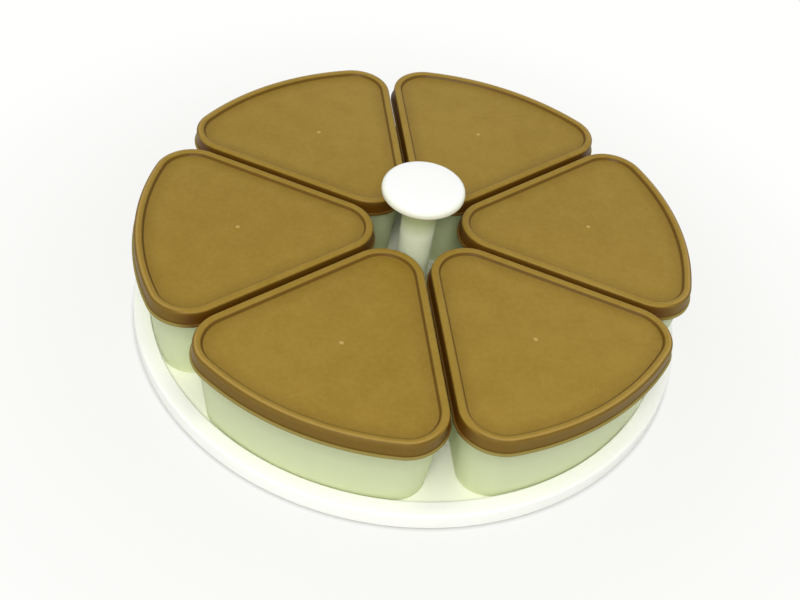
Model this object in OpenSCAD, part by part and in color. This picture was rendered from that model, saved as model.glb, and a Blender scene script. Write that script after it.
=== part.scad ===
// Revolving kitchen tray with six lidded, wedge-shaped containers and a central lifting handle.
// Millimetres. Z is up, the table is Z = 0, and the spin axis is the Z axis.

/* [Tray] */
// Outside diameter of the tray
tray_d = 318; // [300:1:340]
// Width of the raised rim, measured across its top
rim_w = 9; // [7:0.2:12]
// Height of the rim above the tray floor
rim_h = 2.5; // [1.5:0.1:4]
// Thickness of the tray floor
floor_t = 2.2; // [1.6:0.1:3]
// Wall thickness of the hollow rim and its skirt
skirt_t = 1.8; // [1.2:0.1:2.4]
// Radius that rounds the rim's outer edge
rim_edge_r = 1.6; // [0.6:0.1:2]
// Radius that rounds the rim's inner edge
rim_inner_r = 1.2; // [0.6:0.1:1.4]
// Height of the skirt's lower edge above the table
skirt_lift = 1; // [0.8:0.1:3]
// Depth of the ribs under the tray floor
rib_h = 1.5; // [1.2:0.1:2]
// Thickness of one radial rib
rib_t = 1.6; // [1:0.1:3]
// Number of radial ribs
rib_count = 12; // [6:1:24]

/* [Containers] */
// Height of a container without its lid
container_h = 51.5; // [35:0.5:80]
// Wall thickness of a container
wall_t = 1.5; // [1.2:0.1:1.9]
// How far the walls lean in from rim to base
wall_lean = 4.5; // [2:0.1:6]
// Thickness of a container's floor
base_wall = 1.6; // [1.2:0.1:3]
// Radius of the edge round a container's base
base_edge_r = 2; // [1:0.1:3]
// Radius of the two outer corners, at the lid's edge
corner_r = 21.7; // [16:0.1:30]
// Distance from the spin axis to the centre of the front curve
front_shift = 7.3; // [0:0.1:20]
// Play between a container's base and the tray rim
seat_play = 0.7; // [0.5:0.1:2.5]

/* [Lids] */
// Height of a lid from the lip's lower face to the top of its rim
lid_h = 9.6; // [7:0.1:12]
// Wall thickness of a lid's panel
lid_panel_t = 1.2; // [1:0.1:1.6]
// Thickness of a lid's rim above the container
lid_rim_t = 1.5; // [1.2:0.1:2]
// Depth of the recessed panel below the rim
lid_recess = 2; // [1.2:0.1:2.6]
// How far the lip stands out past the lid's upper edge
lip_out = 1.6; // [1.2:0.1:2.2]
// How far the skirt stands out where it meets the lip
skirt_flare = 0.9; // [0.5:0.1:1.1]
// Height of the lip's upright face
lip_h = 1.2; // [0.8:0.1:2]
// Height of the slope from the lip up to the skirt
lip_slope_h = 0.4; // [0.2:0.1:0.8]
// Radius that rounds the rim's outer edge
lid_edge_r = 1; // [0.6:0.1:1.2]
// How much lower the rim's top is at its inner edge than at its outer edge
rim_fall = 0.5; // [0.2:0.1:0.8]
// Width of the slope from the rim down to the panel
recess_slope_w = 1.2; // [0.6:0.1:2]
// Free space between the lips of two neighbouring lids
lip_gap = 0.8; // [0.6:0.1:2]

/* [Handle] */
// Diameter of the knob's disc
knob_d = 46; // [40:0.2:54]
// Thickness of the knob's disc
knob_t = 6; // [4:0.1:8]
// Radius that rounds the knob's edge
knob_edge_r = 1.5; // [0.8:0.1:1.8]
// Rise of the knob's top from its edge to its middle
knob_crown = 0.4; // [0.2:0.1:0.6]
// Height of the handle from the tray floor to the top of the knob
handle_h = 81; // [70:1:105]
// Diameter of the post under the knob
post_top_d = 19.7; // [18:0.1:24]
// Diameter of the post above its foot
post_base_d = 18.5; // [17:0.1:22]
// Wall thickness of the hollow post
post_wall = 2.2; // [1.8:0.1:3]
// Diameter of the post's foot
foot_flange_d = 28; // [24:0.5:34]
// Thickness of the post's foot
foot_flange_t = 2; // [1.5:0.1:3]
// Height of the solid boss that takes the pivot screw
boss_h = 18; // [12:0.5:24]
// Length of the knob's spigot inside the post
spigot_len = 9; // [6:0.5:14]
// Wall thickness of the spigot
spigot_wall = 2; // [1.4:0.1:3]

/* [Base and bearing] */
// Diameter of the base disc
base_d = 192; // [176:1:220]
// Thickness of the base disc
base_t = 1.6; // [1.4:0.1:2.4]
// Height of the upright lip round the base disc
base_lip_h = 1.2; // [0.6:0.1:1.4]
// Width of the lip round the base disc
base_lip_w = 1.6; // [1:0.1:3]
// Number of rubber feet
foot_count = 6; // [3:1:8]
// Diameter of one rubber foot
foot_d = 12; // [8:0.5:16]
// Thickness of one rubber foot
foot_t = 1; // [0.9:0.1:1.6]
// Depth of the recess that a foot is stuck into
foot_recess = 0.4; // [0.2:0.1:0.6]
// Diameter of the ball race
race_d = 150; // [120:1:160]
// Diameter of one bearing ball
ball_d = 3; // [2.6:0.1:4]
// Number of bearing balls
ball_count = 18; // [9:1:30]
// Depth of the groove that the balls roll in
groove_depth = 0.5; // [0.3:0.1:0.6]
// Thickness of the ball cage
cage_t = 1.3; // [0.9:0.1:1.4]
// Width of the ball cage
cage_w = 10; // [8:0.5:14]
// Diameter of the pivot screw's shank
screw_d = 5; // [4:0.1:6]
// Length of the screw inside the post
screw_grip = 14; // [8:0.5:16]
// Diameter of the screw head
screw_head_d = 9.5; // [8:0.1:11]
// Height of the screw head
screw_head_h = 1.3; // [1:0.1:1.5]
// Length of each arm pair of the cross slot
screw_slot_len = 6.6; // [4:0.2:7]
// Width of the cross slot in the screw head
screw_slot_w = 1.2; // [0.8:0.1:1.6]
// Depth of the cross slot
screw_slot_depth = 0.7; // [0.4:0.1:0.9]
// Outside diameter of the washer under the hub
washer_d = 14; // [12:0.5:17]
// Thickness of the washer
washer_t = 0.8; // [0.5:0.1:0.9]
// Outside diameter of the bush's barrel
bush_d = 9; // [8:0.1:11]
// Diameter of the bush's flange
bush_flange_d = 16; // [13:0.5:20]
// Thickness of the bush's flange
bush_flange_t = 0.8; // [0.5:0.1:1]
// Thickness of the hub plate that holds the bush
hub_plate_t = 1.5; // [1.2:0.1:1.6]
// Diameter of the hollow under the hub plate
hub_hollow_d = 22; // [19:0.5:26]
// Wall thickness of the hub
hub_wall = 2; // [1.4:0.1:3]

/* [Fits] */
// Clearance of a lid on each side of a container's rim
lid_fit = 0.3; // [0.2:0.05:0.5]
// Clearance under a container on the tray, and under a lid on its container
stand_gap = 0.05; // [0.02:0.01:0.2]
// Clearance between the knob and a lid that is lifted past it
knob_pass = 0.8; // [0.4:0.1:1.5]
// Radial clearance of the screw in the bush
run_fit = 0.05; // [0.02:0.01:0.1]
// Radial interference of a pressed or threaded joint
press = 0.05; // [0.02:0.01:0.1]
// Clearance of a ball above and below
ball_play = 0.05; // [0.03:0.01:0.1]
// Radial clearance of a ball in its pocket
pocket_play = 0.15; // [0.1:0.05:0.3]
// Clearance of the screw in the tray and in the washer
loose_fit = 0.15; // [0.1:0.05:0.3]
// Axial running gap on each side of the hub
thrust_gap = 0.2; // [0.1:0.05:0.3]
// Clearance of a foot in its recess
foot_play = 0.1; // [0.05:0.05:0.3]

/* [Hidden] */
$fn = 96;
eps = 0.01;

// Colours of the mouldings and the metal parts
white = [0.97, 0.97, 0.93];
brown = [0.61, 0.49, 0.22];
natural = [0.8, 0.83, 0.67, 0.85];
rubber = [0.15, 0.15, 0.15];
steel = [0.72, 0.72, 0.74];
nylon = [0.9, 0.88, 0.8];

// Heights, from the table up
base_z = foot_t - foot_recess;
base_top = base_z + base_t;
race_gap = ball_d + 2 * ball_play - 2 * groove_depth;
rib_z = base_top + race_gap;
tray_z = rib_z + rib_h;
floor_z = tray_z + floor_t;
rim_z = floor_z + rim_h;
tub_z = floor_z + stand_gap;
rim_top_z = tub_z + container_h;
channel_z = rim_top_z + stand_gap;
lid_top = channel_z + lid_rim_t;
lid_low = lid_top - lid_h;
panel_top = lid_top - lid_recess;
panel_low = panel_top - lid_panel_t;
knob_top = floor_z + handle_h;
knob_low = knob_top - knob_t;
flange_z = tray_z - thrust_gap - bush_flange_t;
hub_low = flange_z - hub_plate_t;
washer_z = hub_low - thrust_gap - washer_t;
ball_z = base_top - groove_depth + ball_play + ball_d / 2;

// Half the width of a groove's flat bottom, so that the ball touches nothing but the bottom
ball_r = ball_d / 2;
race_r = race_d / 2;
groove_half = sqrt(pow(ball_r, 2) - pow(ball_r - groove_depth + ball_play, 2)) + pocket_play;
groove_edge = groove_half + groove_depth;

// Plan of one container and its lid, about its own X axis
wedge_count = 6;
half_angle = 180 / wedge_count;
rim_inset = lid_edge_r + lid_fit;
tray_r = tray_d / 2;
rim_in_r = tray_r - rim_w;
side_gap = lip_out + lip_gap / 2;
lid_reach = rim_in_r - seat_play + wall_lean + rim_inset;
front_r = lid_reach - front_shift;
well_r = knob_d / 2 + knob_pass + lip_out;
nose_r = (well_r * sin(half_angle) - side_gap) / (1 - sin(half_angle));
nose_x = (nose_r + side_gap) / sin(half_angle);

// Centre of an outer corner: it lies corner_r inside both the side and the front curve
corner_off = (side_gap + corner_r) * [sin(half_angle), -cos(half_angle)];
side_dir = [cos(half_angle), sin(half_angle)];
corner_from = corner_off - [front_shift, 0];
corner_b = side_dir * corner_from;
corner_c = corner_from * corner_from - pow(front_r - corner_r, 2);
corner_along = sqrt(corner_b * corner_b - corner_c) - corner_b;
corner_at = corner_off + corner_along * side_dir;
corner_turn = atan2(corner_at[1], corner_at[0] - front_shift);

// Straight pieces in each arc of the plan, and in each rounded edge
nose_steps = 10;
corner_steps = 8;
front_steps = 10;
edge_steps = 3;
ring_n = nose_steps + 1 + 2 * (corner_steps + 1) + front_steps - 1;

// Points on an arc about c; skip leaves out that many points at each end
function arc(c, r, from, to, steps, skip = 0) =
    [for (i = [skip : steps - skip])
        let (a = from + (to - from) * i / steps)
        [c[0] + r * cos(a), c[1] + r * sin(a)]];

// The wedge's plan, set in by d all round: nose, corner, front curve, corner, anticlockwise
function wedge(d) = concat(
    arc([corner_at[0], -corner_at[1]], corner_r - d, -90 - half_angle, -corner_turn, corner_steps),
    arc([front_shift, 0], front_r - d, -corner_turn, corner_turn, front_steps, 1),
    arc(corner_at, corner_r - d, corner_turn, 90 + half_angle, corner_steps),
    arc([nose_x, 0], nose_r - d, 90 + half_angle, 270 - half_angle, nose_steps));

// A closed skin through rings of the plan; each station is [inset, height]
module wedge_skin(stations) {
    rings = len(stations);
    points = [for (s = stations) for (p = wedge(s[0])) [p[0], p[1], s[1]]];
    bands = [for (i = [0 : rings - 2]) for (j = [0 : ring_n - 1])
        let (k = (j + 1) % ring_n)
        [i * ring_n + j, (i + 1) * ring_n + j, (i + 1) * ring_n + k, i * ring_n + k]];
    first_cap = [for (j = [0 : ring_n - 1]) j];
    last_cap = [for (j = [ring_n - 1 : -1 : 0]) (rings - 1) * ring_n + j];
    polyhedron(points, concat([first_cap], bands, [last_cap]));
}

module base_disc() {
    bore_r = bush_d / 2 - press;
    hub_in = hub_hollow_d / 2;
    hub_out = hub_in + hub_wall;
    base_r = base_d / 2;
    color(white)
    difference() {
        rotate_extrude()
            polygon([[bore_r, hub_low], [hub_in, hub_low], [hub_in, base_z], [base_r, base_z],
                [base_r, base_top + base_lip_h], [base_r - base_lip_w, base_top + base_lip_h],
                [base_r - base_lip_w, base_top],
                [race_r + groove_edge, base_top], [race_r + groove_half, base_top - groove_depth],
                [race_r - groove_half, base_top - groove_depth], [race_r - groove_edge, base_top],
                [hub_out, base_top], [hub_out, flange_z], [bore_r, flange_z]]);
        feet_places()
            translate([0, 0, base_z - eps])
            cylinder(h = foot_recess + eps, d = foot_d + 2 * foot_play);
    }
}

// Feet stand on a circle just inside the base disc's edge
module feet_places() {
    for (i = [0 : foot_count - 1])
        rotate([0, 0, (i + 0.5) * 360 / foot_count])
        translate([base_d / 2 - foot_d / 2 - foot_play - 2 * base_lip_w, 0, 0])
        children();
}

module rubber_feet() {
    color(rubber)
    feet_places()
        cylinder(h = foot_t, d = foot_d);
}

module pivot_bush() {
    color(nylon)
    rotate_extrude()
        polygon([[screw_d / 2 + run_fit, hub_low], [bush_d / 2, hub_low], [bush_d / 2, flange_z],
            [bush_flange_d / 2, flange_z], [bush_flange_d / 2, flange_z + bush_flange_t],
            [screw_d / 2 + run_fit, flange_z + bush_flange_t]]);
}

module ball_places() {
    for (i = [0 : ball_count - 1])
        rotate([0, 0, i * 360 / ball_count])
        translate([race_d / 2, 0, ball_z])
        children();
}

module ball_cage() {
    color(nylon)
    difference() {
        translate([0, 0, ball_z - cage_t / 2])
        difference() {
            cylinder(h = cage_t, d = race_d + cage_w);
            translate([0, 0, -eps])
            cylinder(h = cage_t + 2 * eps, d = race_d - cage_w);
        }
        ball_places()
            cylinder(h = cage_t + 2 * eps, d = ball_d + 2 * pocket_play, center = true);
    }
}

module bearing_balls() {
    color(steel)
    ball_places()
        sphere(d = ball_d, $fn = 24);
}

// The floor, the hollow rim with its skirt, and the race track are one turned profile
module tray() {
    wall_in = rim_in_r + skirt_t;
    skirt_in = tray_r - skirt_t;
    roof = rim_z - skirt_t;
    hole_r = screw_d / 2 + loose_fit;
    track_in = race_r - groove_edge - rib_t;
    track_out = race_r + groove_edge + rib_t;
    color(white)
    union() {
        rotate_extrude()
            polygon(concat(
                [[hole_r, tray_z], [track_in, tray_z], [track_in, rib_z],
                    [race_r - groove_edge, rib_z], [race_r - groove_half, rib_z + groove_depth],
                    [race_r + groove_half, rib_z + groove_depth], [race_r + groove_edge, rib_z],
                    [track_out, rib_z], [track_out, tray_z],
                    [wall_in, tray_z], [wall_in, roof], [skirt_in, roof],
                    [skirt_in, skirt_lift], [tray_r, skirt_lift]],
                arc([tray_r - rim_edge_r, rim_z - rim_edge_r], rim_edge_r, 0, 90, edge_steps),
                arc([rim_in_r + rim_inner_r, rim_z - rim_inner_r], rim_inner_r, 90, 180, edge_steps),
                [[rim_in_r, floor_z], [hole_r, floor_z]]));
        for (i = [0 : rib_count - 1])
            rotate([0, 0, (i + 0.5) * 360 / rib_count])
            translate([track_out - eps, -rib_t / 2, rib_z])
            cube([wall_in - track_out + eps, rib_t, rib_h + eps]);
    }
}

// A hollow, slightly tapered post on a wide foot; the pivot screw threads into its boss
module handle_post() {
    foot_r = foot_flange_d / 2;
    foot_top = floor_z + foot_flange_t;
    bore_r = post_base_d / 2 - post_wall;
    base_r = post_base_d / 2;
    blend = (foot_r - base_r) / 2;
    color(white)
    difference() {
        rotate_extrude()
            polygon(concat(
                [[0, floor_z], [foot_r, floor_z], [foot_r, foot_top]],
                arc([base_r + blend, foot_top + blend], blend, 270, 180, edge_steps),
                [[post_top_d / 2, knob_low], [0, knob_low]]));
        translate([0, 0, floor_z + boss_h])
        cylinder(h = handle_h, r = bore_r);
        translate([0, 0, floor_z - eps])
        cylinder(h = screw_grip + loose_fit + eps, r = screw_d / 2 - press);
    }
}

// A thin disc with a rounded edge; its hollow spigot is pressed into the post
module handle_knob() {
    edge_at = knob_d / 2 - knob_edge_r;
    edge_top = knob_top - knob_crown - knob_edge_r;
    spigot_r = post_base_d / 2 - post_wall + press;
    spigot_z = knob_low - spigot_len;
    color(white)
    rotate_extrude()
        polygon(concat(
            [[0, knob_low], [spigot_r - spigot_wall, knob_low], [spigot_r - spigot_wall, spigot_z],
                [spigot_r, spigot_z], [spigot_r, knob_low]],
            arc([edge_at, knob_low + knob_edge_r], knob_edge_r, 270, 360, edge_steps),
            arc([edge_at, edge_top], knob_edge_r, 0, 90, edge_steps),
            [[0, knob_top]]));
}

module pivot_screw() {
    head_z = washer_z - screw_head_h;
    color(steel)
    difference() {
        union() {
            translate([0, 0, head_z])
            cylinder(h = screw_head_h, d = screw_head_d);
            translate([0, 0, head_z])
            cylinder(h = floor_z + screw_grip - head_z, d = screw_d);
        }
        for (turn = [0, 90])
            rotate([0, 0, turn])
            translate([-screw_slot_len / 2, -screw_slot_w / 2, head_z - eps])
            cube([screw_slot_len, screw_slot_w, screw_slot_depth + eps]);
    }
}

module pivot_washer() {
    color(steel)
    translate([0, 0, washer_z])
    difference() {
        cylinder(h = washer_t, d = washer_d);
        translate([0, 0, -eps])
        cylinder(h = washer_t + 2 * eps, d = screw_d + 2 * loose_fit);
    }
}

module at_wedge(k) {
    rotate([0, 0, (k - 1) * 2 * half_angle])
        children();
}

// An open wedge-shaped tub with leaning walls and a rounded base edge
module container(k) {
    base_inset = rim_inset + wall_lean;
    rim_round = wall_t / 5;
    inner_inset = base_inset + wall_t;
    inner_z = tub_z + base_wall;
    color(natural)
    at_wedge(k)
    wedge_skin(concat(
        arc([base_inset + base_edge_r, tub_z + base_edge_r], base_edge_r, 270, 180, edge_steps),
        [[rim_inset, rim_top_z - rim_round], [rim_inset + rim_round, rim_top_z],
            [rim_inset + wall_t - rim_round, rim_top_z], [rim_inset + wall_t, rim_top_z - rim_round]],
        arc([inner_inset + base_edge_r, inner_z + base_edge_r], base_edge_r, 180, 270, edge_steps)));
}

// A press-on lid: a lip and skirt outside the container's rim, and a sunk panel inside it
module lid(k) {
    channel_out = rim_inset - lid_fit;
    channel_in = rim_inset + wall_t + lid_fit;
    rim_in = channel_in + lid_panel_t;
    color(brown)
    at_wedge(k)
    wedge_skin(concat(
        [[channel_in + lid_fit, panel_low], [channel_in, channel_z], [channel_out, channel_z],
            [channel_out - lid_fit, lid_low], [-lip_out, lid_low], [-lip_out, lid_low + lip_h],
            [-skirt_flare, lid_low + lip_h + lip_slope_h]],
        arc([lid_edge_r, lid_top - lid_edge_r], lid_edge_r, 180, 90, edge_steps),
        [[rim_in, lid_top - rim_fall], [rim_in + recess_slope_w, panel_top]]));
}

base_disc();
rubber_feet();
pivot_bush();
ball_cage();
bearing_balls();
tray();
handle_post();
handle_knob();
pivot_screw();
pivot_washer();
container(1);  // container_1
container(2);  // container_2
container(3);  // container_3
container(4);  // container_4
container(5);  // container_5
container(6);  // container_6
lid(1);  // lid_1
lid(2);  // lid_2
lid(3);  // lid_3
lid(4);  // lid_4
lid(5);  // lid_5
lid(6);  // lid_6
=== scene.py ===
import math

import bmesh
import bpy
from mathutils import Matrix, Vector


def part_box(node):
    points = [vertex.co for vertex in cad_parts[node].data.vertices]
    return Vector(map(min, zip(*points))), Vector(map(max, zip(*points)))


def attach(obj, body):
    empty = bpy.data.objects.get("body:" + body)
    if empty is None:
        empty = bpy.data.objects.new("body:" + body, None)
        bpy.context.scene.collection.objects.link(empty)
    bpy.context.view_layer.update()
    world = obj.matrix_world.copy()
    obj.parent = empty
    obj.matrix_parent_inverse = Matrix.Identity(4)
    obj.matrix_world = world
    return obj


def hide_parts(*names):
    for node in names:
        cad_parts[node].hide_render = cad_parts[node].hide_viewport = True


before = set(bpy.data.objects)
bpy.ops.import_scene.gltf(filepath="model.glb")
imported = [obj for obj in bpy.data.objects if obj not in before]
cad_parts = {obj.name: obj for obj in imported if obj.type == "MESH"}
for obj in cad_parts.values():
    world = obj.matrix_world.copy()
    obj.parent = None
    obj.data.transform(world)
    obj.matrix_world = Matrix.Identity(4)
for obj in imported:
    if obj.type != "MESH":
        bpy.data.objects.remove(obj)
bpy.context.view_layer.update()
scene = bpy.context.scene


# ---- Base disc -------------------------------------------------------------------------------
# A shallow injection-moulded disc of white high-impact polystyrene, turned here from its section.
# It stays still on the table and carries the lower ball race and the hub of the pivot.

MM = 0.001


def span(node):
    """Lowest and highest corner of a node, in millimetres."""
    return [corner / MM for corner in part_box(node)]


def linear(code):
    """An sRGB hex colour as the linear colour that the shaders want."""
    parts = [int(code[i:i + 2], 16) / 255 for i in (1, 3, 5)]
    return [c / 12.92 if c <= 0.04045 else ((c + 0.055) / 1.055) ** 2.4 for c in parts] + [1]


def add(tree, kind, inputs=(), **settings):
    """One node, with its settings, and its inputs given as values or as the sockets that feed them."""
    node = tree.nodes.new(kind)
    for name, value in settings.items():
        setattr(node, name, value)
    for name, value in dict(inputs).items():
        if isinstance(value, bpy.types.NodeSocket):
            tree.links.new(value, node.inputs[name])
        else:
            node.inputs[name].default_value = value
    return node


def new_material(name):
    """An empty material, its node tree, and the surface socket that takes its shader."""
    material = bpy.data.materials.new(name)
    material.use_nodes = True
    tree = material.node_tree
    tree.nodes.clear()
    surface = add(tree, "ShaderNodeOutputMaterial").inputs["Surface"]
    return material, tree, surface


def moulded_white(name, tint, shade, gloss, painted_light_and_wear):
    """Polystyrene from a polished tool: nearly white, satin, with faint flow marks and rubbed spots."""
    material, tree, surface = new_material(name)
    place = add(tree, "ShaderNodeTexCoord").outputs["Object"]
    # Flow marks are 20 mm clouds; rubbed spots are 3 mm wide and only change the sheen
    clouds = add(tree, "ShaderNodeTexNoise", {"Vector": place, "Scale": 1 / (20 * MM), "Detail": 3})
    rubbed = add(tree, "ShaderNodeTexNoise", {"Vector": place, "Scale": 1 / (3 * MM), "Detail": 4})
    grain = add(tree, "ShaderNodeTexNoise", {"Vector": place, "Scale": 1 / (1.2 * MM), "Detail": 2})
    colour = add(tree, "ShaderNodeMix", {0: clouds.outputs["Fac"], 6: linear(shade), 7: linear(tint)},
                 data_type="RGBA")
    # Painted light: a yellow-green tint of light bounced through translucent plastic comes in between two
    # distances from the outline
    painted_tint, none_at, full_at = painted_light_and_wear
    inset = add(tree, "ShaderNodeAttribute", attribute_name="inset").outputs["Fac"]
    band = add(tree, "ShaderNodeMapRange", {"Value": inset, "From Min": none_at, "From Max": full_at})
    colour = add(tree, "ShaderNodeMix", {0: band.outputs["Result"], 6: colour.outputs[2],
                                         7: linear(painted_tint)}, data_type="RGBA")
    sheen = add(tree, "ShaderNodeMapRange", {"Value": rubbed.outputs["Fac"], "From Min": 0.3,
                                             "From Max": 0.7, "To Min": gloss, "To Max": gloss + 0.03})
    bump = add(tree, "ShaderNodeBump", {"Height": grain.outputs["Fac"], "Strength": 0.02,
                                        "Distance": 0.1 * MM})
    shader = add(tree, "ShaderNodeBsdfPrincipled", {
        "Base Color": colour.outputs[2], "Roughness": sheen.outputs["Result"],
        "Normal": bump.outputs["Normal"], "IOR": 1.59})
    tree.links.new(shader.outputs["BSDF"], surface)
    return material


# The tray's floor carries a painted yellow-green tint of light bounced through the tubs, from its rim's
# inner edge at 9 mm inwards
polystyrene = moulded_white("white_polystyrene_satin", "#FEFEFB", "#FCFDF6", 0.32,
                            ("#FEFFEE", 9, 12))


def size_tree(name, sizes):
    """A geometry tree that takes and gives a mesh, with named inputs for its sizes and its finish."""
    tree = bpy.data.node_groups.new(name, "GeometryNodeTree")
    face = tree.interface
    face.new_socket("Geometry", in_out="OUTPUT", socket_type="NodeSocketGeometry")
    face.new_socket("Geometry", in_out="INPUT", socket_type="NodeSocketGeometry")
    for size, kind in sizes.items():
        face.new_socket(size, in_out="INPUT", socket_type=kind)
    face.new_socket("Finish", in_out="INPUT", socket_type="NodeSocketMaterial")
    return tree, add(tree, "NodeGroupInput").outputs


def end_tree(tree, given, shape):
    """The end of every tree: real geometry, with its material."""
    real = add(tree, "GeometryNodeRealizeInstances", {"Geometry": shape})
    done = add(tree, "GeometryNodeSetMaterial", {"Geometry": real.outputs["Geometry"],
                                                 "Material": given["Finish"]})
    add(tree, "NodeGroupOutput", {"Geometry": done.outputs["Geometry"]})
    return tree


def swept_section(tree, section, path):
    """The section, drawn as inset against height, carried round a closed path that runs anticlockwise."""
    line = add(tree, "GeometryNodeMeshToCurve", {"Mesh": section})
    turned = add(tree, "GeometryNodeTransform", {"Geometry": line.outputs["Curve"],
                                                 "Scale": (-1, -1, 1)})
    upright = add(tree, "GeometryNodeSetCurveNormal", {"Curve": path}, mode="Z_UP")
    return add(tree, "GeometryNodeCurveToMesh", {"Curve": upright.outputs["Curve"],
                                                 "Profile Curve": turned.outputs["Geometry"]})


def turned_tree():
    """A section carried round the spin axis."""
    tree, given = size_tree("turned_piece", {"Radius": "NodeSocketFloat", "Steps": "NodeSocketInt"})
    circle = add(tree, "GeometryNodeCurvePrimitiveCircle", {"Radius": given["Radius"],
                                                            "Resolution": given["Steps"]})
    skin = swept_section(tree, given["Geometry"], circle.outputs["Curve"])
    return end_tree(tree, given, skin.outputs["Mesh"])


def grow(tree, name, seed, sizes):
    """The plain mesh that a tree makes from a seed mesh, as an object at the origin."""
    piece = bpy.data.objects.new(name, seed)
    scene.collection.objects.link(piece)
    modifier = piece.modifiers.new("shape", "NODES")
    modifier.node_group = tree
    for item in tree.interface.items_tree:
        if item.name in sizes:
            modifier[item.identifier] = sizes[item.name]
    graph = bpy.context.evaluated_depsgraph_get()
    mesh = bpy.data.meshes.new_from_object(piece.evaluated_get(graph), depsgraph=graph)
    piece.modifiers.remove(modifier)
    piece.data = mesh
    return piece


def rounded(corners, closed=False, steps=5):
    """Points of a section; each corner is (across, height, radius), and a radius rounds it."""
    count = len(corners)
    points = []
    for i, (x, z, radius) in enumerate(corners):
        here = Vector((x, z))
        if radius == 0 or (not closed and i in (0, count - 1)):
            points.append(here)
            continue
        before = Vector(corners[i - 1][:2]) - here
        after = Vector(corners[(i + 1) % count][:2]) - here
        half = before.angle(after) / 2
        reach = min(radius / math.tan(half), 0.49 * before.length, 0.49 * after.length)
        start = here + before.normalized() * reach
        stop = here + after.normalized() * reach
        middle = here + (before.normalized() + after.normalized()).normalized() * reach / math.cos(half)
        arm, turn = start - middle, (start - middle).angle_signed(stop - middle)
        for step in range(steps + 1):
            spoke = arm.copy()
            spoke.rotate(Matrix.Rotation(-turn * step / steps, 2))
            points.append(middle + spoke)
    return points


def section_mesh(points, closed=False):
    """A section's points in metres, joined into a line or a loop."""
    count = len(points)
    edges = [(i, (i + 1) % count) for i in range(count if closed else count - 1)]
    mesh = bpy.data.meshes.new("section")
    mesh.from_pydata([(x * MM, z * MM, 0) for x, z in points], edges, [])
    # How far each point lies inside the outline, in millimetres, for finishes that follow the section
    inset = mesh.attributes.new("inset", "FLOAT", "POINT")
    inset.data.foreach_set("value", [x for x, z in points])
    return mesh


def finish_mesh(piece, sharp=40):
    """Merged, closed, outward-facing and smooth, with edges sharper than that angle kept crisp."""
    work = bmesh.new()
    work.from_mesh(piece.data)
    bmesh.ops.remove_doubles(work, verts=work.verts, dist=0.002 * MM)
    bmesh.ops.holes_fill(work, edges=[edge for edge in work.edges if edge.is_boundary])
    bmesh.ops.recalc_face_normals(work, faces=work.faces)
    work.to_mesh(piece.data)
    work.free()
    piece.data.shade_smooth()
    piece.data.set_sharp_from_angle(angle=math.radians(sharp))
    return piece


def fit(piece, body, slot, *nodes):
    """The piece moves with a body and stands for those nodes, which it hides; its slot is not used."""
    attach(piece, body)
    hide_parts(*nodes)
    return piece


turned = turned_tree()


def turned_piece(name, corners, finish, closed=True, steps=192):
    """A turned piece from a section of (radius, height, rounding) corners."""
    reach = max(corner[0] for corner in corners)
    insets = [(reach - radius, height) for radius, height in rounded(corners, closed)]
    seed = section_mesh(insets, closed)
    piece = grow(turned, name, seed, {"Radius": reach * MM, "Steps": steps, "Finish": finish})
    return finish_mesh(piece)


base_low, base_high = span("base_disc")
tray_low, tray_high = span("tray")
cage_high = span("ball_cage")[1]
bush_low, bush_high = span("pivot_bush")
base_r = base_high.x
base_t = 1.6
base_z = base_low.z
base_top = base_z + base_t
base_lip_w, base_lip_h = 1.6, 1.2
cage_w = 10
race_r = cage_high.x - cage_w / 2
groove_half, groove_depth = 1.2, 0.5
groove_edge = groove_half + groove_depth
flange_t = 0.8
bore_r, hub_in, hub_out, hub_top = 4.45, 11, 13, bush_high.z - flange_t
base = turned_piece("base_disc_moulding", [
    (bore_r, bush_low.z, 0), (hub_in, bush_low.z, 0.3), (hub_in, base_z, 0.4), (base_r, base_z, 0.5),
    (base_r, base_top + base_lip_h, 0.4), (base_r - base_lip_w, base_top + base_lip_h, 0.4),
    (base_r - base_lip_w, base_top, 0.5),
    (race_r + groove_edge, base_top, 0.1), (race_r + groove_half, base_top - groove_depth, 0.2),
    (race_r - groove_half, base_top - groove_depth, 0.2), (race_r - groove_edge, base_top, 0.1),
    (hub_out, base_top, 0.6), (hub_out, hub_top, 0.4), (bore_r, hub_top, 0)], polystyrene)
fit(base, "base", "white_plastic", "base_disc")


# ---- Rubber feet -----------------------------------------------------------------------------
# Six die-cut pads of black rubber, stuck into shallow recesses under the base disc.
# They are what the whole stands on; their edges are a little rounded by wear.


def ring_tree():
    """Copies of one piece, evenly spaced round the spin axis."""
    tree, given = size_tree("evenly_round_the_axis", {"Count": "NodeSocketInt", "Start": "NodeSocketFloat"})
    points = add(tree, "GeometryNodePoints", {"Count": given["Count"]})
    step = add(tree, "ShaderNodeMath", {0: math.tau, 1: given["Count"]}, operation="DIVIDE")
    number = add(tree, "GeometryNodeInputIndex")
    angle = add(tree, "ShaderNodeMath", {0: number.outputs["Index"], 1: step.outputs["Value"],
                                         2: given["Start"]}, operation="MULTIPLY_ADD")
    turn = add(tree, "FunctionNodeAxisAngleToRotation", {"Axis": (0, 0, 1),
                                                         "Angle": angle.outputs["Value"]})
    copies = add(tree, "GeometryNodeInstanceOnPoints", {"Points": points.outputs["Points"],
                                                        "Instance": given["Geometry"],
                                                        "Rotation": turn.outputs["Rotation"]})
    return end_tree(tree, given, copies.outputs["Instances"])


ring_of = ring_tree()


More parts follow.
